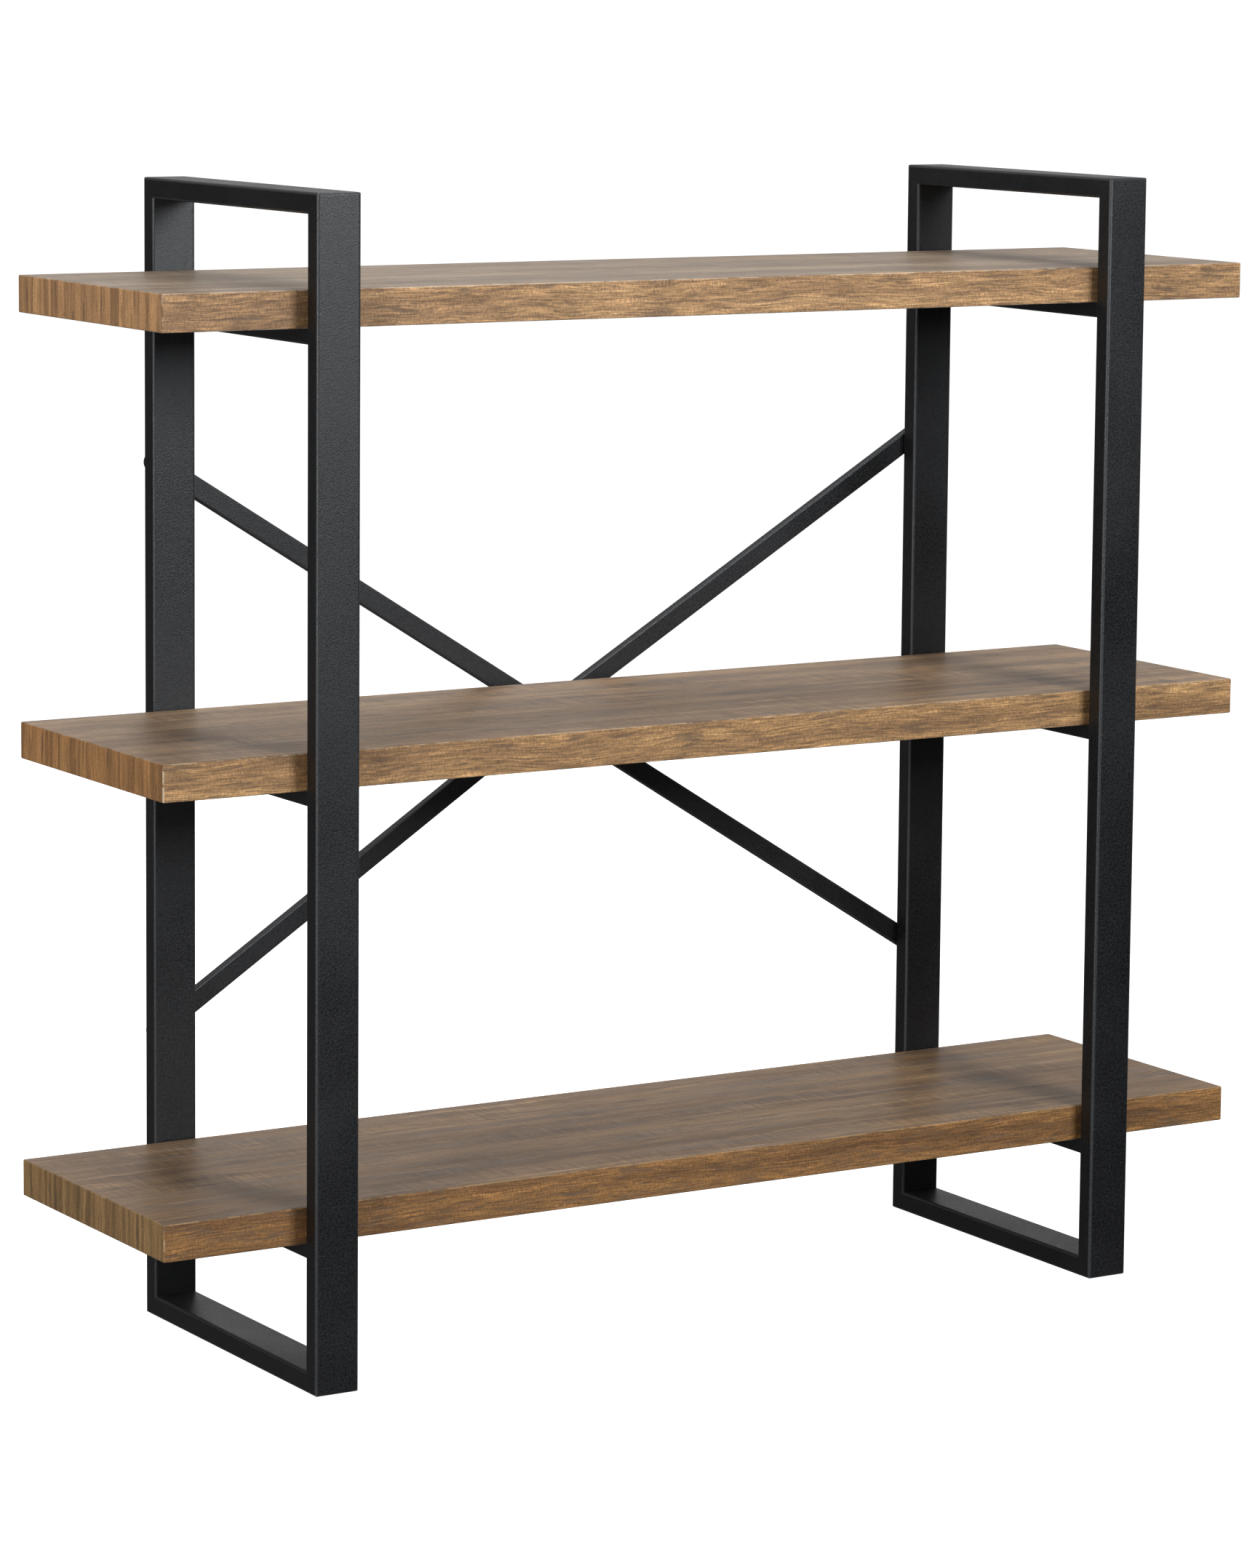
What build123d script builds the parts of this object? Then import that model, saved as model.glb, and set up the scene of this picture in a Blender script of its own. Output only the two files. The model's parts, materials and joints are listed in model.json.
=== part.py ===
from build123d import *
from math import atan2, cos, hypot, radians, sin
import os

# Free-standing open bookcase. Two welded loops of rectangular steel tube carry three thick boards,
# which run through the loops and overhang them, and a cross brace is bolted behind the rear uprights.
# Millimetres. +X is the bookcase's right as seen from its front, -Y is the front, +Z is up.
# The origin is on the floor, in the middle of the space that the whole bookcase takes.

# Shelves: foil-wrapped boards.
SHELF_NAMES = ("bottom", "middle", "top")
SHELF_LENGTH = 1200.0
SHELF_DEPTH = 300.0
SHELF_THICKNESS = 35.0
SHELF_EDGE_RADIUS = 1.5
SHELF_OVERHANG = 140.0  # past the outer face of each side frame
SHELF_REAR_GAP = 2.0  # between a shelf and the rear uprights
FIRST_SHELF_TOP = 172.0
SHELF_PITCH = 420.0

# Side frames: the tube's wide face looks forwards, and its narrow side faces along the shelves.
FRAME_DEPTH = 350.0
FRAME_HEIGHT = 1100.0
TUBE_WIDTH = 45.0
TUBE_THICKNESS = 20.0
TUBE_WALL = 1.5
TUBE_CORNER_RADIUS = 3.0
GROUND_CORNER_RADIUS = 2.5  # the loops' welded outer corners, ground smooth

# Bearers: the cross rails that carry the shelves, welded between the uprights.
BEARER_WIDTH = 30.0
BEARER_HEIGHT = 15.0
BEARER_WALL = 1.2
BEARER_CORNER_RADIUS = 2.0

# Cross brace: one long tube and two half tubes that meet it at the crossing.
BRACE_WIDTH = 20.0
BRACE_DEPTH = 10.0
BRACE_WALL = 1.2
BRACE_CORNER_RADIUS = 2.0
BRACE_LOW_BOLT_Z = 281.0
BRACE_HIGH_BOLT_Z = 823.0
LONG_BRACE_MARGIN = 9.3  # from an outer bolt to the tube's cut end
HALF_BRACE_MARGIN = 8.0
BRACE_JOINT_GAP = 1.0  # between a half tube and the side of the long one
CROSSING_SHIFT = 10.0  # the crossing sits this far up the long tube from its middle

# Plate behind the crossing.
PLATE_LENGTH = 78.0
PLATE_HEIGHT = 56.0
PLATE_THICKNESS = 3.0
PLATE_CORNER_RADIUS = 8.0
PLATE_BOLT_REACH = 30.0  # from the crossing to each of its bolts

# Plastic plugs in the outer ends of the brace tubes.
PLUG_EDGE_RADIUS = 1.0
PLUG_DEPTH = 4.5
PLUG_CLEARANCE = 0.2

# M6 button-head bolts, hexagon nuts and flanged rivet nuts.
BOLT_SHANK_RADIUS = 2.9
BOLT_HOLE_RADIUS = 3.3
BOLT_HEAD_RADIUS = 5.25
BOLT_HEAD_HEIGHT = 3.3
BOLT_DOME_RADIUS = 2.6
BOLT_SOCKET_ACROSS_FLATS = 4.0
BOLT_SOCKET_DEPTH = 1.8
END_BOLT_LENGTH = 25.0
PLATE_BOLT_LENGTH = 20.0
NUT_ACROSS_FLATS = 10.0
NUT_HEIGHT = 5.0
NUT_CHAMFER = 0.5
THREAD_RADIUS = 3.0
RIVET_FLANGE_RADIUS = 6.5
RIVET_FLANGE = 0.8
RIVET_BODY_RADIUS = 4.5
RIVET_BODY_LENGTH = 14.0
RIVET_HOLE_RADIUS = 4.6

# Pan-head wood screws, up through the bearers' upper walls into the shelves. Their heads stand inside the bearers.
SCREW_LENGTH = 25.0
SCREW_POINT = 5.0
SCREW_RADIUS = 2.0
SCREW_HEAD_RADIUS = 4.3
SCREW_HEAD_HEIGHT = 2.8
SCREW_DOME_RADIUS = 2.0
SCREW_RECESS_LENGTH = 4.6
SCREW_RECESS_WIDTH = 1.0
SCREW_RECESS_DEPTH = 1.5
SCREW_HOLE_RADIUS = 2.4
SCREW_PILOT_RADIUS = 2.05
SCREW_ACCESS_RADIUS = 5.5  # of the holes in the bearers' lower walls that let the screws in
SCREW_SPACING = 200.0  # between the two screws of one bearer

# Worked out from the sizes above.
FRAME_X = SHELF_LENGTH / 2 - SHELF_OVERHANG - TUBE_WIDTH / 2
BRACE_FRONT = FRAME_DEPTH / 2 + RIVET_FLANGE
PLATE_FRONT = BRACE_FRONT + BRACE_DEPTH
REAR_REACH = PLATE_FRONT + PLATE_THICKNESS + BOLT_HEAD_HEIGHT
FRAME_Y = (FRAME_DEPTH / 2 - REAR_REACH) / 2  # puts the origin midway between front and back
INNER_DEPTH = FRAME_DEPTH - 2 * TUBE_THICKNESS
SHELF_Y = FRAME_Y + INNER_DEPTH / 2 - SHELF_REAR_GAP - SHELF_DEPTH / 2
SHELF_TOPS = {name: FIRST_SHELF_TOP + i * SHELF_PITCH for i, name in enumerate(SHELF_NAMES)}
FRAMES = {"left": -FRAME_X, "right": FRAME_X}

# The brace's outer bolts, and the crossing, as points of the XZ plane.
UPPER_LEFT = (-FRAME_X, BRACE_HIGH_BOLT_Z)
LOWER_RIGHT = (FRAME_X, BRACE_LOW_BOLT_Z)
LOWER_LEFT = (-FRAME_X, BRACE_LOW_BOLT_Z)
UPPER_RIGHT = (FRAME_X, BRACE_HIGH_BOLT_Z)
LONG_ANGLE = atan2(UPPER_LEFT[1] - LOWER_RIGHT[1], UPPER_LEFT[0] - LOWER_RIGHT[0])
CROSSING = (
    CROSSING_SHIFT * cos(LONG_ANGLE),
    (BRACE_LOW_BOLT_Z + BRACE_HIGH_BOLT_Z) / 2 + CROSSING_SHIFT * sin(LONG_ANGLE),
)
OUTER_BOLTS = (UPPER_LEFT, LOWER_RIGHT, LOWER_LEFT, UPPER_RIGHT)

BACKWARDS = Rot(X=-90)  # turns a piece made along +Z to run along +Y


def tube(width, depth, wall, radius, length):
    """A round-cornered tube along +Z from the XY plane, with its width along X."""
    outside = RectangleRounded(width, depth, radius)
    inside = RectangleRounded(width - 2 * wall, depth - 2 * wall, radius - wall)
    return extrude(outside - inside, length)


def drill(radius, length):
    """A cylinder along +Z from the XY plane, for cutting a hole."""
    return Cylinder(radius, length, align=(Align.CENTER, Align.CENTER, Align.MIN))


# ---- Side frames


def mitred_tube(length):
    """A frame tube along Z, centred, with 45 degree cuts at both ends. Its long face looks along -Y."""
    half, edge = length / 2, TUBE_THICKNESS / 2
    outline = Polyline(
        (-edge, -half),
        (-edge, half),
        (edge, half - TUBE_THICKNESS),
        (edge, TUBE_THICKNESS - half),
        close=True,
    )
    between_cuts = extrude(Plane.YZ * make_face(outline), TUBE_WIDTH / 2, both=True)
    ground = Box(TUBE_WIDTH, 2 * TUBE_THICKNESS, length)
    outer_edges = ground.edges().filter_by(Axis.X).group_by(Axis.Y)[0]
    ground = Pos(0, edge, 0) * fillet(outer_edges, GROUND_CORNER_RADIUS)
    whole = tube(TUBE_WIDTH, TUBE_THICKNESS, TUBE_WALL, TUBE_CORNER_RADIUS, length)
    return Pos(0, 0, -half) * whole & between_cuts & ground


def upright(x, side):
    """The front upright for side -1, or the rear one for side 1, which is drilled for rivet nuts."""
    turn = Rot(Z=0 if side < 0 else 180)
    y = FRAME_Y + side * (FRAME_DEPTH - TUBE_THICKNESS) / 2
    piece = Pos(x, y, FRAME_HEIGHT / 2) * turn * mitred_tube(FRAME_HEIGHT)
    if side > 0:
        for bolt_x, bolt_z in OUTER_BOLTS:
            hole = BACKWARDS * drill(RIVET_HOLE_RADIUS, TUBE_THICKNESS)
            if bolt_x == x:
                piece -= Pos(x, y, bolt_z) * hole
    return piece


def loop_rail(x, side):
    """The bottom rail of a frame for side -1, or its top rail for side 1."""
    z = FRAME_HEIGHT / 2 + side * (FRAME_HEIGHT - TUBE_THICKNESS) / 2
    return Pos(x, FRAME_Y, z) * Rot(X=-90 * side) * mitred_tube(FRAME_DEPTH)


def screw_places(x):
    """Where the two screws of one bearer stand, as XY points."""
    return [(x, SHELF_Y + side * SCREW_SPACING / 2) for side in (-1, 1)]


def bearer(x, shelf_top):
    """A cross rail between the uprights, under a shelf, with its two screw holes and the access holes below them."""
    low = shelf_top - SHELF_THICKNESS - BEARER_HEIGHT
    rail = tube(BEARER_WIDTH, BEARER_HEIGHT, BEARER_WALL, BEARER_CORNER_RADIUS, INNER_DEPTH)
    rail = Pos(x, FRAME_Y - INNER_DEPTH / 2, low + BEARER_HEIGHT / 2) * BACKWARDS * rail
    for screw_x, screw_y in screw_places(x):
        rail -= Pos(screw_x, screw_y, low) * drill(SCREW_HOLE_RADIUS, BEARER_HEIGHT)
        rail -= Pos(screw_x, screw_y, low) * drill(SCREW_ACCESS_RADIUS, BEARER_HEIGHT / 2)
    return rail


# ---- Shelves


def shelf(top):
    """A board with softened edges and four blind pilot holes in its underside."""
    board = Box(SHELF_LENGTH, SHELF_DEPTH, SHELF_THICKNESS)
    board = fillet(board.edges(), SHELF_EDGE_RADIUS)
    low = top - SHELF_THICKNESS
    board = Pos(0, SHELF_Y, low + SHELF_THICKNESS / 2) * board
    for x in FRAMES.values():
        for screw_x, screw_y in screw_places(x):
            board -= Pos(screw_x, screw_y, low) * drill(SCREW_PILOT_RADIUS, SCREW_LENGTH - BEARER_WALL)
    return board


# ---- Cross brace


def angle_between(start, end):
    """The direction from one XZ point to another, in radians from +X."""
    return atan2(end[1] - start[1], end[0] - start[0])


def move(point, angle, reach):
    """The XZ point that lies so far from a point in that direction."""
    return (point[0] + reach * cos(angle), point[1] + reach * sin(angle))


def lying_along(start, angle):
    """A plane at the brace's mid-depth whose +Z runs from the start point in that direction."""
    y = FRAME_Y + BRACE_FRONT + BRACE_DEPTH / 2
    return Plane((start[0], y, start[1]), x_dir=(-sin(angle), 0, cos(angle)), z_dir=(cos(angle), 0, sin(angle)))


def brace_tube(start, end):
    """A brace tube between two XZ points."""
    length = hypot(end[0] - start[0], end[1] - start[1])
    bar = tube(BRACE_WIDTH, BRACE_DEPTH, BRACE_WALL, BRACE_CORNER_RADIUS, length)
    return lying_along(start, angle_between(start, end)) * bar


def drilled(piece, points, front, depth):
    """The piece with a bolt hole along Y at each of the XZ points."""
    for x, z in points:
        piece -= Pos(x, FRAME_Y + front, z) * BACKWARDS * drill(BOLT_HOLE_RADIUS, depth)
    return piece


def long_brace():
    """The tube that runs in one length from the upper left to the lower right."""
    upwards = angle_between(LOWER_RIGHT, UPPER_LEFT)
    start = move(LOWER_RIGHT, upwards, -LONG_BRACE_MARGIN)
    end = move(UPPER_LEFT, upwards, LONG_BRACE_MARGIN)
    return drilled(brace_tube(start, end), [UPPER_LEFT, LOWER_RIGHT, *PLATE_BOLTS], BRACE_FRONT, BRACE_DEPTH)


def half_brace(outer_bolt):
    """A tube from the crossing to an outer bolt, cut parallel to the side of the long tube."""
    outwards = angle_between(CROSSING, outer_bolt)
    bar = brace_tube(CROSSING, move(outer_bolt, outwards, HALF_BRACE_MARGIN))
    upwards = angle_between(LOWER_RIGHT, UPPER_LEFT)
    cutter = Box(BRACE_WIDTH + 2 * BRACE_JOINT_GAP, 2 * BRACE_DEPTH, 4 * BRACE_WIDTH)
    bar -= lying_along(CROSSING, upwards) * cutter
    own_plate_bolt = move(CROSSING, outwards, PLATE_BOLT_REACH)
    return drilled(bar, [outer_bolt, own_plate_bolt], BRACE_FRONT, BRACE_DEPTH)


def centre_plate():
    """The plate behind the crossing that ties the three tubes together."""
    blank = extrude(RectangleRounded(PLATE_LENGTH, PLATE_HEIGHT, PLATE_CORNER_RADIUS), PLATE_THICKNESS)
    placed = Pos(CROSSING[0], FRAME_Y + PLATE_FRONT, CROSSING[1]) * BACKWARDS * blank
    return drilled(placed, PLATE_BOLTS, PLATE_FRONT, PLATE_THICKNESS)


def end_plug(inner_point, outer_bolt, margin):
    """A plastic plug with a half-round cap, in the outer end of a brace tube."""
    outwards = angle_between(inner_point, outer_bolt)
    disc = BACKWARDS * Cylinder(BRACE_WIDTH / 2, BRACE_DEPTH)
    disc = fillet(disc.edges().filter_by(GeomType.CIRCLE), PLUG_EDGE_RADIUS)
    cap = disc & Pos(0, 0, BRACE_WIDTH / 2) * Box(2 * BRACE_WIDTH, 2 * BRACE_DEPTH, BRACE_WIDTH)
    inset = 2 * (BRACE_WALL + PLUG_CLEARANCE)
    stem = extrude(Rectangle(BRACE_WIDTH - inset, BRACE_DEPTH - inset), -PLUG_DEPTH)
    stem = chamfer(stem.edges().filter_by(Axis.Z), BRACE_CORNER_RADIUS - BRACE_WALL)
    return lying_along(move(outer_bolt, outwards, margin), outwards) * (cap + stem)


# ---- Fasteners


def button_bolt(length):
    """A button-head bolt whose shank runs along -Z from the XY plane, with its head above it."""
    head = fillet(drill(BOLT_HEAD_RADIUS, BOLT_HEAD_HEIGHT).edges().sort_by(Axis.Z)[-1:], BOLT_DOME_RADIUS)
    socket = RegularPolygon(BOLT_SOCKET_ACROSS_FLATS / 2, 6, major_radius=False)
    head -= Pos(0, 0, BOLT_HEAD_HEIGHT) * extrude(socket, -BOLT_SOCKET_DEPTH)
    return head + Pos(0, 0, -length) * drill(BOLT_SHANK_RADIUS, length)


def hexagon_nut():
    """A nut along +Z from the XY plane, with its corners turned off at the free face."""
    body = extrude(RegularPolygon(NUT_ACROSS_FLATS / 2, 6, major_radius=False), NUT_HEIGHT)
    blank = drill(NUT_ACROSS_FLATS / 2 / cos(radians(30)), NUT_HEIGHT)
    turned = chamfer(blank.edges().sort_by(Axis.Z)[-1:], NUT_CHAMFER)
    return (body & turned) - drill(THREAD_RADIUS, NUT_HEIGHT)


def rivet_nut():
    """A flanged threaded insert: its flange stands on the XY plane and its body runs along -Z."""
    body = Pos(0, 0, -RIVET_BODY_LENGTH) * drill(RIVET_BODY_RADIUS, RIVET_BODY_LENGTH)
    solid = drill(RIVET_FLANGE_RADIUS, RIVET_FLANGE) + body
    return solid - Pos(0, 0, -RIVET_BODY_LENGTH) * drill(THREAD_RADIUS, RIVET_BODY_LENGTH + RIVET_FLANGE)


def wood_screw():
    """A pan-head screw that points along +Z from its seat on the XY plane, with its head below it."""
    head = drill(SCREW_HEAD_RADIUS, SCREW_HEAD_HEIGHT)
    head = fillet(head.edges().sort_by(Axis.Z)[-1:], SCREW_DOME_RADIUS)
    for angle in (0, 90):
        slot = Box(SCREW_RECESS_LENGTH, SCREW_RECESS_WIDTH, 2 * SCREW_RECESS_DEPTH)
        head -= Pos(0, 0, SCREW_HEAD_HEIGHT) * Rot(Z=angle) * slot
    straight = SCREW_LENGTH - SCREW_POINT
    point = Cone(SCREW_RADIUS, 0, SCREW_POINT, align=(Align.CENTER, Align.CENTER, Align.MIN))
    return Rot(X=180) * head + drill(SCREW_RADIUS, straight) + Pos(0, 0, straight) * point


def facing_back(piece, points, y):
    """Copies of a piece made along +Z, turned to face the back, one at each XZ point."""
    return Compound(children=[Pos(x, FRAME_Y + y, z) * BACKWARDS * piece for x, z in points])


def facing_front(piece, points, y):
    """Copies of a piece made along +Z, turned to face the front, one at each XZ point."""
    return Compound(children=[Pos(x, FRAME_Y + y, z) * Rot(X=90) * piece for x, z in points])


def shelf_screws(shelf_top):
    """The four screws that hold one shelf, each seated against a bearer's upper wall from inside."""
    seat = shelf_top - SHELF_THICKNESS - BEARER_WALL
    places = [place for x in FRAMES.values() for place in screw_places(x)]
    return Compound(children=[Pos(x, y, seat) * wood_screw() for x, y in places])


PLATE_BOLTS = [move(CROSSING, angle_between(CROSSING, bolt), PLATE_BOLT_REACH) for bolt in OUTER_BOLTS]

parts = {}
for frame_name, frame_x in FRAMES.items():
    parts[f"{frame_name}_front_upright"] = upright(frame_x, -1)
    parts[f"{frame_name}_rear_upright"] = upright(frame_x, 1)
    parts[f"{frame_name}_bottom_rail"] = loop_rail(frame_x, -1)
    parts[f"{frame_name}_top_rail"] = loop_rail(frame_x, 1)
    for shelf_name, shelf_top in SHELF_TOPS.items():
        parts[f"{frame_name}_{shelf_name}_bearer"] = bearer(frame_x, shelf_top)

for shelf_name, shelf_top in SHELF_TOPS.items():
    parts[f"{shelf_name}_shelf"] = shelf(shelf_top)
    parts[f"{shelf_name}_shelf_screws"] = shelf_screws(shelf_top)

parts["long_brace"] = long_brace()
parts["lower_half_brace"] = half_brace(LOWER_LEFT)
parts["upper_half_brace"] = half_brace(UPPER_RIGHT)
parts["brace_centre_plate"] = centre_plate()
parts["brace_end_plugs"] = Compound(
    children=[
        end_plug(LOWER_RIGHT, UPPER_LEFT, LONG_BRACE_MARGIN),
        end_plug(UPPER_LEFT, LOWER_RIGHT, LONG_BRACE_MARGIN),
        end_plug(CROSSING, LOWER_LEFT, HALF_BRACE_MARGIN),
        end_plug(CROSSING, UPPER_RIGHT, HALF_BRACE_MARGIN),
    ]
)
parts["brace_end_bolts"] = facing_back(button_bolt(END_BOLT_LENGTH), OUTER_BOLTS, PLATE_FRONT)
parts["upright_rivet_nuts"] = facing_back(rivet_nut(), OUTER_BOLTS, FRAME_DEPTH / 2)
parts["brace_centre_bolts"] = facing_back(
    button_bolt(PLATE_BOLT_LENGTH), PLATE_BOLTS, PLATE_FRONT + PLATE_THICKNESS
)
parts["brace_centre_nuts"] = facing_front(hexagon_nut(), PLATE_BOLTS, BRACE_FRONT)

os.makedirs("parts", exist_ok=True)
for node, piece in parts.items():
    export_step(piece, f"parts/{node}.step")
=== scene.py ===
"""Looks, light and camera for the open bookcase: black powder-coated tube and rough-sawn wood."""

import json
import math

import bpy
from mathutils import Euler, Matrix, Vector

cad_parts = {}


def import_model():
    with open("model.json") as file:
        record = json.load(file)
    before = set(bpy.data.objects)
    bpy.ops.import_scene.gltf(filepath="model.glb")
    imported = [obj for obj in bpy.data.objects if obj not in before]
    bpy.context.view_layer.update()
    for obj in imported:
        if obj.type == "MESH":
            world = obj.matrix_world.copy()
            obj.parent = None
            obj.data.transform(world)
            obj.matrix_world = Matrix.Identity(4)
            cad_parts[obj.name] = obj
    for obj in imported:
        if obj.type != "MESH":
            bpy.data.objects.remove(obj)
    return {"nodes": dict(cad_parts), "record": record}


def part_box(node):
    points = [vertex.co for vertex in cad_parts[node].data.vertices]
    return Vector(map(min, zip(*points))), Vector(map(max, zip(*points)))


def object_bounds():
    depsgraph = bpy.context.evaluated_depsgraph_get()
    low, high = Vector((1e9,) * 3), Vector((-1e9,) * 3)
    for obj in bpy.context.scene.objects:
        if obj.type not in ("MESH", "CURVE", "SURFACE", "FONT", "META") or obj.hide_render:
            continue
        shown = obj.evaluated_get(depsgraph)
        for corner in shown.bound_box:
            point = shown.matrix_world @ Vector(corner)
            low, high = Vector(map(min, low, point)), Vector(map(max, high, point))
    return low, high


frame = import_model()
cad_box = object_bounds()

# Each board's tints, for its front and back, its ends, and its top and underside. Colours are
# linear RGB throughout. The boards share one foil, so the tints also paint light and shade: each
# board and face is made lighter or darker as light falls on it.
SHELVES = {
    "bottom_shelf": ((0.47, 0.41, 0.30), (0.38, 0.40, 0.38), (0.70, 0.55, 0.37)),
    "middle_shelf": ((0.60, 0.60, 0.58), (0.52, 0.46, 0.39), (1.02, 0.84, 0.63)),
    "top_shelf": ((0.64, 0.65, 0.68), (0.66, 0.64, 0.67), (0.77, 0.74, 0.68)),
}
# How far apart the boards' noise seeds lie.
SEED_STEP = 20.0

# The wood's colours. The two ramps run over its tone, from its dark bands to its pale ones.
SIDE_RAMP = [
    (0.36, (0.230, 0.120, 0.050)),
    (0.46, (0.375, 0.207, 0.088)),
    (0.55, (0.475, 0.268, 0.112)),
    (0.66, (0.590, 0.352, 0.162)),
]
# The top's ramp is greyer than the sides': a painted sheen.
TOP_RAMP = [
    (0.38, (0.205, 0.152, 0.112)),
    (0.49, (0.290, 0.222, 0.168)),
    (0.60, (0.385, 0.302, 0.225)),
]
SMOKE = (0.150, 0.115, 0.090)
GOLD = (0.420, 0.275, 0.150)
GROWTH_LINE = (0.125, 0.070, 0.036)
PORE = (0.085, 0.055, 0.036)
KNOT = (0.050, 0.030, 0.018)
CHIP_AND_HIGHLIGHT = (0.900, 0.740, 0.560)
DIRT = (0.110, 0.068, 0.040)

# The wood's layers of stretched noise. Each has a seed of its own, added to the board's, and so
# many features to the metre along and across the grain.
GRAINS = {
    "planks": {"seed": 0, "along": 0.8, "across": 16.0, "detail": 2.0, "roughness": 0.6},
    "long_wander": {"seed": 1, "along": 7.0, "across": 14.0, "detail": 1.0},
    "short_wander": {"seed": 2, "along": 30.0, "across": 75.0, "detail": 2.0},
    "bands": {"seed": 3, "along": 3.0, "across": 55.0, "detail": 3.0, "roughness": 0.6},
    "fibre": {"seed": 5, "along": 30.0, "across": 640.0, "detail": 3.0, "roughness": 0.7},
    "growth": {"seed": 7, "along": 20.0, "across": 430.0, "detail": 5.0, "roughness": 0.68},
    "growth_drift": {"seed": 8, "along": 18.0, "across": 90.0, "detail": 2.0},
    "saw": {"seed": 9, "along": 560.0, "across": 230.0, "detail": 2.0, "roughness": 0.6},
    "sawn_patches": {"seed": 11, "along": 5.0, "across": 22.0},
    "saw_marks": {"seed": 12, "along": 210.0, "across": 12.0, "detail": 3.0},
    "smoke": {"seed": 13, "along": 4.0, "across": 34.0, "detail": 5.0, "roughness": 0.65},
    "gold": {"seed": 14, "along": 3.0, "across": 95.0, "detail": 3.0, "roughness": 0.6},
    "pores": {"seed": 15, "along": 48.0, "across": 520.0, "detail": 1.0},
    "slits": {"seed": 17, "along": 15.0, "across": 120.0, "detail": 2.0},
}
# How far the two wanders carry the grain sideways, in metres.
LONG_WANDER = 0.014
SHORT_WANDER = 0.0045
# The strips on the ends. The stretch times the scale is how many there are to the metre.
STRIP_STRETCH = 36.0
STRIP_SCALE = 5.0
# Knots, in cells to the metre. A cell has one if its random number is above the threshold. It is
# darkest up to the first radius and gone at the second, in cells.
KNOT_CELLS_ALONG = 6.0
KNOT_CELLS_ACROSS = 17.0
KNOT_THRESHOLD = 0.70
KNOT_RADII = (0.012, 0.045)
# Edges wear, and take a painted highlight, most up to the first distance in from them and not at
# all past the second, in metres.
RIM_WEAR_AND_HIGHLIGHT = (0.0006, 0.0013)
CORNER_WEAR_AND_HIGHLIGHT = (0.0008, 0.0017)
# How strongly the grain shows: in full on the front and back, and so much on the other faces.
TOP_STRENGTH = 0.45
END_STRENGTH_LOSS = -0.50
TOP_ROUGHNESS = 0.46
SIDE_ROUGHNESS = 0.62
# A face belongs to an axis when its normal lies more than this much along it.
SQUARE = 0.7

# The black finishes.
COAT_RAMP = [(0.38, (0.0004, 0.0004, 0.0004)), (0.62, (0.0095, 0.0097, 0.0106))]
COAT_EDGE_HIGHLIGHT = (0.036, 0.037, 0.039)
COAT_UPWARD_PALE = (0.024, 0.024, 0.0235)
COAT_SHEEN = (0.93, 0.96, 1.0)
OXIDE_RAMP = [(0.35, (0.020, 0.020, 0.021)), (0.7, (0.055, 0.054, 0.052))]
PLASTIC_RAMP = [(0.3, (0.011, 0.011, 0.012)), (0.7, (0.018, 0.018, 0.019))]

# The studio, in metres. The cards run from below the floor to over the bookcase.
FLOOR_HALF_WIDTH = 400.0
FLOOR_GAP = 0.0005
CARD_BOTTOM = -1.5
CARD_TOP = 2.5
# The surroundings' grey by height: 0 is straight down, 0.5 the horizon and 1 straight up.
SKY_STOPS = [(0.480, 0.08), (0.494, 1.0), (0.56, 1.0), (0.68, 0.22)]
WHITE = (1, 1, 1)

# Camera, in metres, degrees and millimetres of lens. Azimuth 0 looks along +Y, and a negative
# tilt looks down.
CAMERA_PLACE = (-2.648, -4.292, 1.312)
CAMERA_AZIMUTH = 31.47
CAMERA_TILT = -7.00
CAMERA_ROLL = -0.51
CAMERA_LENS = 119.8
CAMERA_SENSOR = 36.0
CAMERA_SHIFT = -0.12

# Sockets of the Mix node, which has a set for each kind of value.
MIX_FACTOR = 0
MIX_NUMBERS = (2, 3)
MIX_NUMBER_RESULT = 0
MIX_COLORS = (6, 7)
MIX_COLOR_RESULT = 2


# ---- Shader nodes


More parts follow.
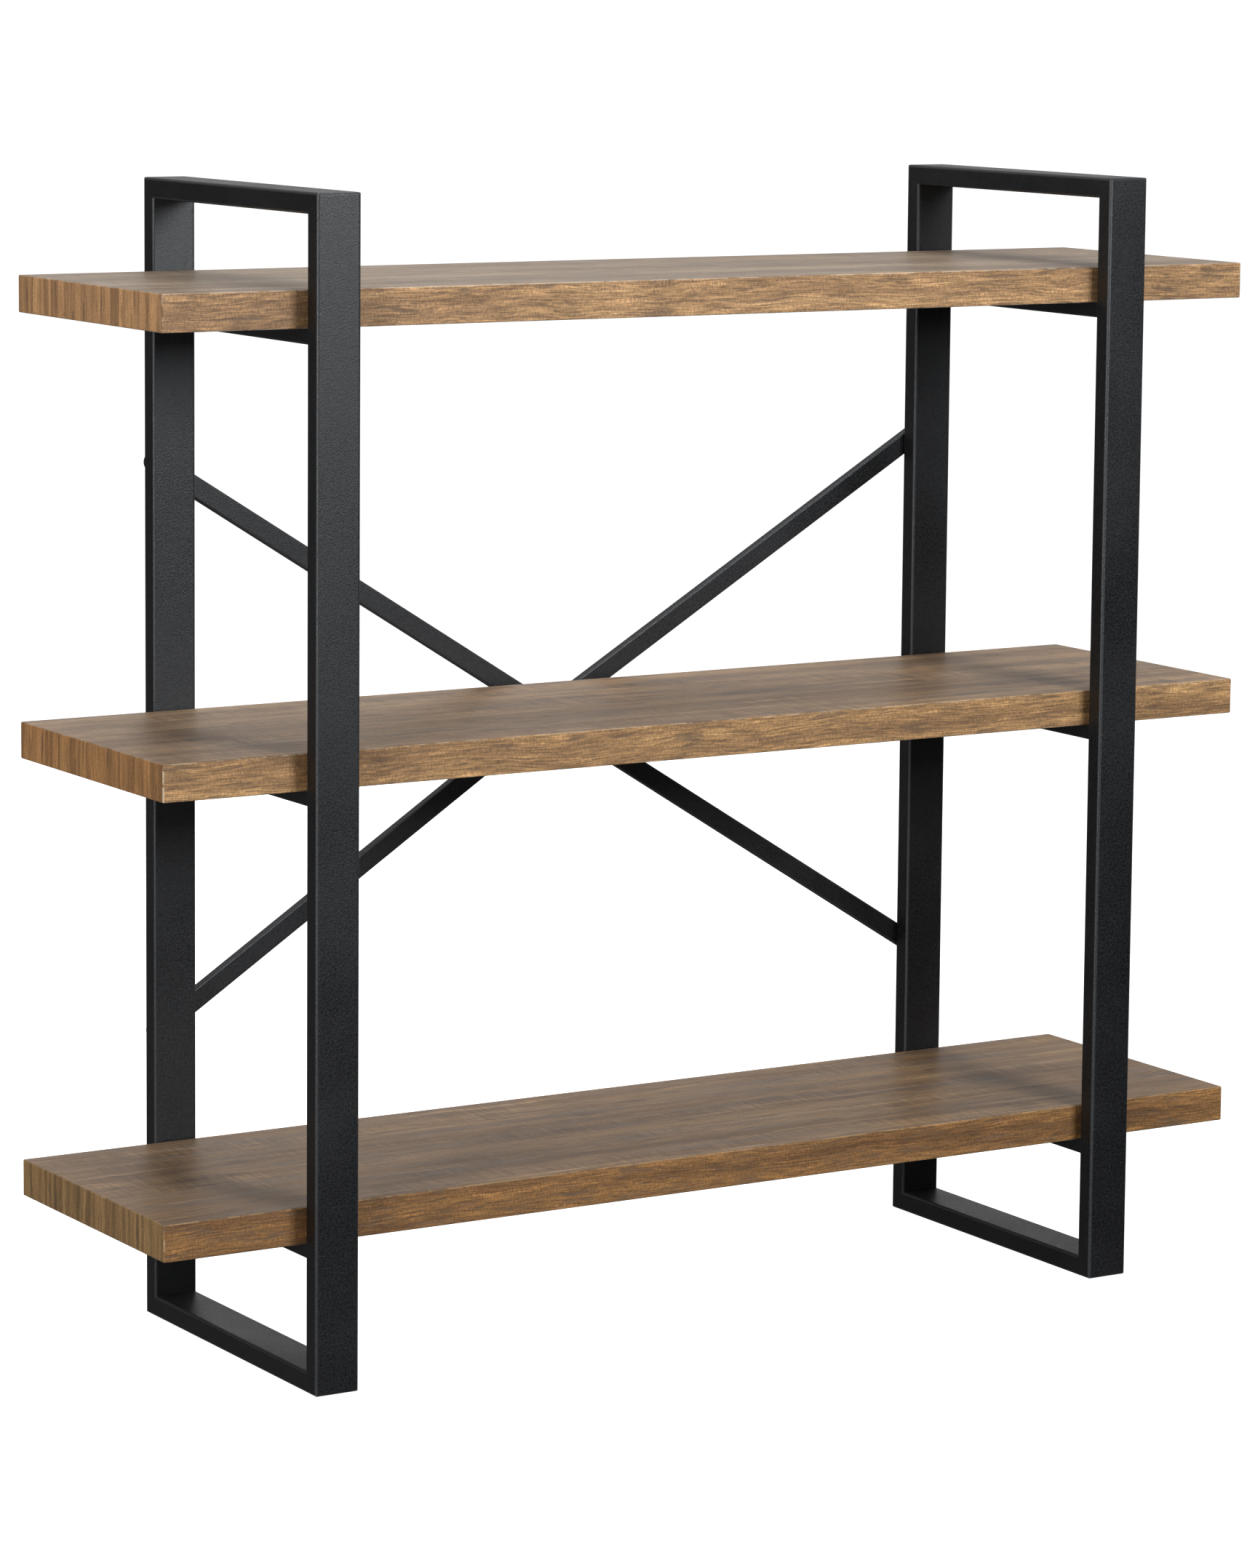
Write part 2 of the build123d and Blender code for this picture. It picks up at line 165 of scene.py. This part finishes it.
class Shader:
    """One material under construction. Its methods add nodes and return their output sockets."""

    def __init__(self, name):
        self.material = bpy.data.materials.new(name)
        self.material.use_nodes = True
        self.tree = self.material.node_tree
        self.surface = self.tree.nodes["Principled BSDF"]
        coordinates = self.tree.nodes.new("ShaderNodeTexCoord")
        self.point = coordinates.outputs["Object"]
        self.normal = coordinates.outputs["Normal"]

    def feed(self, socket, value):
        """Link the socket to another node's output, or give it a number or an RGB colour."""
        if isinstance(value, bpy.types.NodeSocket):
            self.tree.links.new(value, socket)
        elif socket.type == "RGBA":
            socket.default_value = (*value, 1.0)
        else:
            socket.default_value = value

    def node(self, kind, values, **settings):
        """A new node of the kind, with its settings made and its input sockets fed."""
        made = self.tree.nodes.new(kind)
        for key, value in settings.items():
            setattr(made, key, value)
        for socket, value in values.items():
            self.feed(made.inputs[socket], value)
        return made

    def set(self, **values):
        """Set the surface shader's own inputs, named like base_color and specular_ior_level."""
        for key, value in values.items():
            name = key.replace("_", " ").title().replace("Ior", "IOR")
            self.feed(self.surface.inputs[name], value)

    def math(self, operation, *values):
        return self.node("ShaderNodeMath", dict(enumerate(values)), operation=operation).outputs[0]

    def multiply(self, a, b):
        return self.math("MULTIPLY", a, b)

    def multiply_add(self, a, b, c):
        return self.math("MULTIPLY_ADD", a, b, c)

    def subtract(self, a, b):
        return self.math("SUBTRACT", a, b)

    def larger(self, a, b):
        return self.math("MAXIMUM", a, b)

    def smaller(self, a, b):
        return self.math("MINIMUM", a, b)

    def absolute(self, a):
        return self.math("ABSOLUTE", a)

    def above(self, a, b):
        return self.math("GREATER_THAN", a, b)

    def ease(self, gain, strength):
        """The gain, brought toward 1 as the strength falls to 0."""
        return self.multiply_add(self.subtract(gain, 1.0), strength, 1.0)

    def axes(self, vector):
        split = self.node("ShaderNodeSeparateXYZ", {0: vector})
        return [split.outputs[axis] for axis in range(3)]

    def facing(self):
        """How squarely the surface faces along each axis, 0 to 1."""
        return [self.absolute(part) for part in self.axes(self.normal)]

    def vector(self, x, y, z):
        return self.node("ShaderNodeCombineXYZ", {0: x, 1: y, 2: z}).outputs[0]

    def noise(self, vector, scale=1.0, detail=2.0, roughness=0.5):
        values = {"Vector": vector, "Scale": scale, "Detail": detail, "Roughness": roughness}
        return self.node("ShaderNodeTexNoise", values).outputs[0]

    def red(self, color):
        return self.node("ShaderNodeSeparateColor", {0: color}).outputs[0]

    def span(self, value, low, high, to_low=0.0, to_high=1.0):
        """The value's smooth passage from low to high, as to_low to to_high."""
        values = {"Value": value, "From Min": low, "From Max": high}
        values |= {"To Min": to_low, "To Max": to_high}
        made = self.node("ShaderNodeMapRange", values, interpolation_type="SMOOTHSTEP")
        return made.outputs[0]

    def blend(self, factor, a, b, mode="MIX"):
        """Colour a where the factor is 0, and b, or a times b, where it is 1."""
        values = {MIX_FACTOR: factor, MIX_COLORS[0]: a, MIX_COLORS[1]: b}
        made = self.node("ShaderNodeMix", values, data_type="RGBA", blend_type=mode)
        return made.outputs[MIX_COLOR_RESULT]

    def tint(self, color, tint):
        return self.blend(1.0, color, tint, "MULTIPLY")

    def brighten(self, color, gain):
        return self.tint(color, self.vector(gain, gain, gain))

    def choose(self, factor, a, b):
        """Number a where the factor is 0 and b where it is 1."""
        values = {MIX_FACTOR: factor, MIX_NUMBERS[0]: a, MIX_NUMBERS[1]: b}
        made = self.node("ShaderNodeMix", values, data_type="FLOAT")
        return made.outputs[MIX_NUMBER_RESULT]

    def ramp(self, value, stops):
        made = self.node("ShaderNodeValToRGB", {0: value})
        fill_ramp(made.color_ramp, stops)
        return made.outputs[0]

    def bump(self, height, strength, distance):
        values = {"Height": height, "Strength": strength, "Distance": distance}
        self.set(normal=self.node("ShaderNodeBump", values).outputs[0])


def fill_ramp(color_ramp, stops):
    while len(color_ramp.elements) < len(stops):
        color_ramp.elements.new(0.5)
    for element, (place, color) in zip(color_ramp.elements, stops):
        element.position = place
        element.color = (*color, 1.0)


# ---- Materials


class Wood(Shader):
    """Rough-sawn wood foil, lively and warm on a board's sides and grey on its top, a painted
    sheen.
    """

    def __init__(self, shelf, seed, front_tint, end_tint, top_tint):
        super().__init__(f"{shelf}_wood")
        self.low, self.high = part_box(shelf)
        self.seed = seed
        self.front_tint, self.end_tint, self.top_tint = front_tint, end_tint, top_tint
        self.x, y, self.z = self.axes(self.point)
        self.y = self.subtract(y, (self.low.y + self.high.y) / 2)
        self.below_top = self.subtract(self.high.z, self.z)
        faces_x, faces_y, _ = self.facing()
        self.on_end = self.above(faces_x, SQUARE)
        on_front = self.above(faces_y, SQUARE)
        self.on_side = self.larger(self.on_end, on_front)
        # u runs along the grain and v across it, and both carry on over the board's edges.
        self.u = self.over_edge(self.x, self.on_end)
        self.v = self.over_edge(self.y, on_front)
        self.v = self.multiply_add(self.grain("long_wander"), LONG_WANDER, self.v)
        self.v = self.multiply_add(self.grain("short_wander"), SHORT_WANDER, self.v)
        by_face = self.choose(self.on_side, TOP_STRENGTH, 1.0)
        self.strength = self.multiply_add(self.on_end, END_STRENGTH_LOSS, by_face)
        self.saw = self.grain("saw")
        self.fibre = self.grain("fibre")

    def over_edge(self, along, on_face):
        """The place along an axis, going on down the face at that axis's end."""
        outward = self.multiply(on_face, self.math("SIGN", along))
        return self.multiply_add(outward, self.below_top, along)

    def grain(self, layer):
        """One of the layers in GRAINS, stretched along the grain."""
        settings = dict(GRAINS[layer])
        seed = self.seed + settings.pop("seed")
        along = self.multiply(self.u, settings.pop("along"))
        across = self.multiply(self.v, settings.pop("across"))
        return self.noise(self.vector(along, across, seed), **settings)

    def finish(self):
        """Lay the looks over one another and return the material."""
        color = self.blend(self.on_side, *self.broad_colors())
        color, line = self.growth_lines(color)
        color, dark = self.pores_and_knots(color)
        color = self.edge_wear_and_highlight(color)
        roughness = self.choose(self.on_side, TOP_ROUGHNESS, SIDE_ROUGHNESS)
        self.set(base_color=color, roughness=roughness, specular_ior_level=0.40)
        height = self.multiply_add(self.fibre, 0.9, self.multiply(self.saw, 0.5))
        height = self.subtract(height, self.multiply(line, 0.7))
        height = self.multiply(self.subtract(height, dark), self.strength)
        self.bump(height, strength=0.45, distance=0.0005)
        return self.material

    def broad_colors(self):
        """Broad bands of colour, for the top and for the sides.

        The ends show each plank of the veneer as a strip of its own.
        """
        place = self.multiply_add(self.v, STRIP_STRETCH, self.seed)
        values = {"W": place, "Scale": STRIP_SCALE}
        strips = self.node("ShaderNodeTexVoronoi", values, voronoi_dimensions="1D")
        strip = self.red(strips.outputs["Color"])
        strip_tone = self.multiply_add(strip, -0.20, 0.60)
        planks = self.choose(self.on_end, self.grain("planks"), strip_tone)
        tone = self.multiply_add(planks, 0.55, self.multiply(self.grain("bands"), 0.45))
        tone = self.choose(self.multiply(self.on_end, 0.45), tone, 0.52)

        side = self.ramp(tone, SIDE_RAMP)
        # The front and end tints paint light and shade onto each board's sides.
        side = self.tint(side, self.blend(self.on_end, self.front_tint, self.end_tint))
        strip_gain = self.span(strip, 0.15, 0.95, 1.60, 1.12)
        side = self.brighten(side, self.choose(self.on_end, 1.0, strip_gain))

        # The top's greyer ramp and tint paint a sheen on the wood, and the tint also its light and
        # shade.
        top = self.tint(self.ramp(tone, TOP_RAMP), self.top_tint)
        smoke = self.span(self.grain("smoke"), 0.46, 0.62)
        top = self.blend(self.multiply(smoke, 0.55), top, SMOKE)
        gold = self.span(self.grain("gold"), 0.56, 0.70)
        top = self.blend(self.multiply(gold, 0.50), top, GOLD)
        patches = self.span(self.grain("sawn_patches"), 0.46, 0.60)
        marks = self.span(self.grain("saw_marks"), 0.42, 0.60, 0.84, 1.12)
        top = self.brighten(top, self.ease(marks, patches))
        return top, side

    def growth_lines(self, color):
        """Fine growth lines, crossed by saw marks that break the dark ones up into a weave."""
        shade = self.span(self.fibre, 0.34, 0.64, 0.58, 1.30)
        shade = self.multiply(shade, self.span(self.saw, 0.30, 0.70, 0.80, 1.20))
        color = self.brighten(color, self.ease(shade, self.strength))
        level = self.multiply_add(self.grain("growth_drift"), 0.45, self.grain("growth"))
        line = self.span(level, 0.585, 0.685, 0.9, 0.0)
        line = self.multiply(line, self.span(self.saw, 0.38, 0.60, 1.0, 0.45))
        color = self.blend(self.multiply(line, self.strength), color, GROWTH_LINE)
        pale = self.multiply(self.span(level, 0.76, 0.88, 0.0, 0.55), self.strength)
        pale = self.multiply(pale, self.span(self.saw, 0.40, 0.66, 0.35, 1.0))
        return self.brighten(color, self.multiply_add(pale, 1.3, 1.0)), line

    def pores_and_knots(self, color):
        """Open pores and slits, and a few small knots."""
        pores = self.multiply(self.span(self.grain("pores"), 0.64, 0.72), self.strength)
        slits = self.span(self.grain("slits"), 0.615, 0.67)
        dark = self.multiply(self.larger(pores, slits), 0.55)
        color = self.blend(dark, color, PORE)
        across = self.multiply(self.v, KNOT_CELLS_ACROSS)
        cells = self.vector(self.multiply(self.u, KNOT_CELLS_ALONG), across, self.seed)
        knots = self.node("ShaderNodeTexVoronoi", {"Vector": cells, "Scale": 1.0})
        knot = self.span(knots.outputs["Distance"], *KNOT_RADII, 1.0, 0.0)
        picked = self.above(self.red(knots.outputs["Color"]), KNOT_THRESHOLD)
        knot = self.multiply(knot, picked)
        return self.blend(self.multiply(knot, 0.8), color, KNOT), dark

    def edge_wear_and_highlight(self, color):
        """The board's rounded edges: pale here, partly chipped foil and partly a painted
        highlight, and dirty there.
        """
        from_end = self.subtract(self.high.x, self.absolute(self.x))
        from_front = self.subtract((self.high.y - self.low.y) / 2, self.absolute(self.y))
        from_rim = self.smaller(self.below_top, self.subtract(self.z, self.low.z))
        corner = self.larger(from_end, from_front)
        rim = self.larger(self.smaller(from_end, from_front), from_rim)
        near_rim = self.span(rim, *RIM_WEAR_AND_HIGHLIGHT, 1.0, 0.0)
        near = self.multiply(near_rim, self.choose(self.on_end, 0.5, 0.1))
        near = self.larger(near, self.span(corner, *CORNER_WEAR_AND_HIGHLIGHT, 1.0, 0.0))
        place = self.vector(self.x, self.y, self.z)
        wear = self.noise(place, scale=70.0, detail=4.0, roughness=0.6)
        # The pale marks are partly chipped foil and partly a painted highlight along the edges and
        # corners.
        chips_and_highlight = self.multiply(near, self.span(wear, 0.44, 0.54, 0.0, 0.75))
        color = self.blend(chips_and_highlight, color, self.tint(CHIP_AND_HIGHLIGHT, self.front_tint))
        dirt = self.multiply(near, self.span(wear, 0.34, 0.42, 0.65, 0.0))
        return self.blend(dirt, color, DIRT)


def powder_coat():
    """Matt black powder coat: grained, glossier on round edges with a painted highlight there, and
    paler on upward faces.
    """
    s = Shader("black_powder_coat")
    speckle = s.noise(s.point, scale=430.0, detail=3.0, roughness=0.7)
    grain = s.noise(s.point, scale=1000.0, detail=2.0, roughness=0.7)
    cloud = s.noise(s.point, scale=9.0, detail=3.0)
    facing = s.facing()
    squarest = s.larger(s.larger(facing[0], facing[1]), facing[2])
    edge = s.span(squarest, 0.93, 0.995, 1.0, 0.0)
    tone = s.multiply_add(speckle, 0.7, s.multiply(cloud, 0.3))
    color = s.ramp(tone, COAT_RAMP)
    # Round edges are blended toward a lighter grey, a painted highlight, and made glossier below.
    color = s.blend(s.multiply(edge, 0.6), color, COAT_EDGE_HIGHLIGHT)
    _, _, upward = s.axes(s.normal)
    # Upward faces are blended toward a paler grey in speckles.
    upward_pale = s.multiply(s.span(upward, 0.90, 0.99), s.span(speckle, 0.35, 0.65, 0.4, 0.9))
    color = s.blend(upward_pale, color, COAT_UPWARD_PALE)
    roughness = s.multiply_add(edge, -0.08, s.span(tone, 0.35, 0.65, 0.34, 0.46))
    s.set(base_color=color, roughness=roughness)
    s.set(specular_ior_level=0.40, specular_tint=COAT_SHEEN)
    s.bump(grain, strength=0.6, distance=0.0004)
    return s.material


def black_oxide():
    """Satin black steel of the bolts, nuts and screws."""
    s = Shader("black_oxide_steel")
    blotch = s.noise(s.point, scale=260.0, detail=3.0)
    roughness = s.span(blotch, 0.3, 0.7, 0.30, 0.45)
    s.set(base_color=s.ramp(blotch, OXIDE_RAMP), metallic=0.9, roughness=roughness)
    s.bump(s.noise(s.point, scale=1500.0, detail=2.0), strength=0.15, distance=0.0001)
    return s.material


def black_plastic():
    """Moulded black plastic of the end plugs."""
    s = Shader("black_plastic")
    pebble = s.noise(s.point, scale=1600.0, detail=2.0)
    color = s.ramp(s.noise(s.point, scale=40.0), PLASTIC_RAMP)
    s.set(base_color=color, roughness=s.span(pebble, 0.3, 0.7, 0.50, 0.62))
    s.bump(pebble, strength=0.25, distance=0.0001)
    return s.material


def glowing(name, shade, roughness, glow):
    """A plain surface without gloss that gives off white light."""
    s = Shader(name)
    s.set(base_color=(shade, shade, shade), roughness=roughness, specular_ior_level=0.0)
    s.set(emission_color=WHITE, emission_strength=glow)
    return s.material


def dress(names, material):
    """Give every material slot of the named nodes the material."""
    for name in names:
        for slot in frame["nodes"][name].material_slots:
            slot.material = material


# ---- Studio


def rectangle(name, corners, material):
    """A single face of the studio, through four corners."""
    mesh = bpy.data.meshes.new(name)
    mesh.from_pydata(corners, [], [(0, 1, 2, 3)])
    mesh.materials.append(material)
    made = bpy.data.objects.new(name, mesh)
    bpy.context.collection.objects.link(made)
    made.visible_diffuse = False
    return made


def floor():
    """A plain pale floor, wide enough to run to the horizon, which reflections don't see."""
    half = FLOOR_HALF_WIDTH
    corners = [(-half, -half, 0), (half, -half, 0), (half, half, 0), (-half, half, 0)]
    made = rectangle("floor", corners, glowing("pale_floor", 0.42, 0.9, 1.0))
    made.location.z = cad_box[0][2] - FLOOR_GAP
    made.visible_glossy = False


def flag(name, left, right, glow):
    """A dark upright card between two XY points, which only reflections see."""
    feet = [(*left, CARD_BOTTOM), (*right, CARD_BOTTOM)]
    heads = [(*right, CARD_TOP), (*left, CARD_TOP)]
    made = rectangle(name, feet + heads, glowing(f"{name}_card", 0.0, 1.0, glow))
    made.visible_camera = False
    made.visible_shadow = False


def world():
    """White at the horizon, grey overhead, and dark below the floor for the reflections."""
    made = bpy.data.worlds.new("studio")
    made.use_nodes = True
    nodes, links = made.node_tree.nodes, made.node_tree.links
    direction = nodes.new("ShaderNodeTexCoord")
    split = nodes.new("ShaderNodeSeparateXYZ")
    ramp = nodes.new("ShaderNodeValToRGB")
    fill_ramp(ramp.color_ramp, [(height, (shade,) * 3) for height, shade in SKY_STOPS])
    # From the direction's -1 to 1 to the ramp's 0 to 1.
    height = nodes.new("ShaderNodeMath")
    height.operation = "MULTIPLY_ADD"
    height.inputs[1].default_value = 0.5
    height.inputs[2].default_value = 0.5
    links.new(direction.outputs["Generated"], split.inputs[0])
    links.new(split.outputs["Z"], height.inputs[0])
    links.new(height.outputs[0], ramp.inputs[0])
    links.new(ramp.outputs[0], nodes["Background"].inputs["Color"])
    bpy.context.scene.world = made


def softbox(name, place, aim, width, height, power, color=WHITE, glossy=True):
    """A rectangular light that faces the aim. Reflections see it only if it is glossy."""
    data = bpy.data.lights.new(name, "AREA")
    data.shape = "RECTANGLE"
    data.size, data.size_y = width, height
    data.energy = power
    data.color = color
    made = bpy.data.objects.new(name, data)
    made.location = place
    made.rotation_euler = (Vector(aim) - Vector(place)).to_track_quat("-Z", "Y").to_euler()
    made.visible_glossy = glossy
    bpy.context.collection.objects.link(made)


def camera():
    """The camera at the photograph's viewing angle."""
    data = bpy.data.cameras.new("camera")
    data.lens = CAMERA_LENS
    data.sensor_width = CAMERA_SENSOR
    data.shift_y = CAMERA_SHIFT
    made = bpy.data.objects.new("camera", data)
    made.location = CAMERA_PLACE
    turn = Euler((math.radians(90 + CAMERA_TILT), 0, -math.radians(CAMERA_AZIMUTH)))
    roll = Euler((0, 0, -math.radians(CAMERA_ROLL)))
    made.rotation_euler = (turn.to_matrix() @ roll.to_matrix()).to_euler()
    bpy.context.collection.objects.link(made)
    bpy.context.scene.camera = made


# ---- The bookcase

camera()
floor()
flag("left_flag", left=(-3.6, 1.0), right=(-0.5, 3.2), glow=0.12)
flag("right_flag", left=(1.9, -4.4), right=(4.6, -1.2), glow=0.0)
world()
softbox(
    "key",
    place=(0.66, -3.1, 1.80),
    aim=(-0.1, 0.0, 0.75),
    width=1.0,
    height=1.0,
    power=104.0,
    color=(0.97, 0.985, 1.0),
)
softbox(
    "left_fill",
    place=(-3.4, -1.8, 1.0),
    aim=(-0.2, 0.0, 0.6),
    width=0.8,
    height=1.8,
    power=66.0,
)
softbox(
    "rear_fill",
    place=(1.0, 3.2, 1.6),
    aim=(0.0, 0.0, 0.6),
    width=1.2,
    height=1.2,
    power=60.0,
    glossy=False,
)
softbox(
    "overhead",
    place=(0.0, 0.3, 3.6),
    aim=(0.0, 0.0, 0.0),
    width=3.0,
    height=2.0,
    power=75.0,
)

for index, (shelf, tints) in enumerate(SHELVES.items()):
    dress([shelf], Wood(shelf, SEED_STEP * index, *tints).finish())
by_slot = {}
for part in frame["record"]["subparts"]:
    by_slot.setdefault(part["material_slot"], []).append(part["node"])
dress(by_slot["black_steel"], powder_coat())
dress(by_slot["black_fastener"], black_oxide())
dress(by_slot["black_plastic"], black_plastic())

bpy.context.scene.view_settings.view_transform = "Standard"
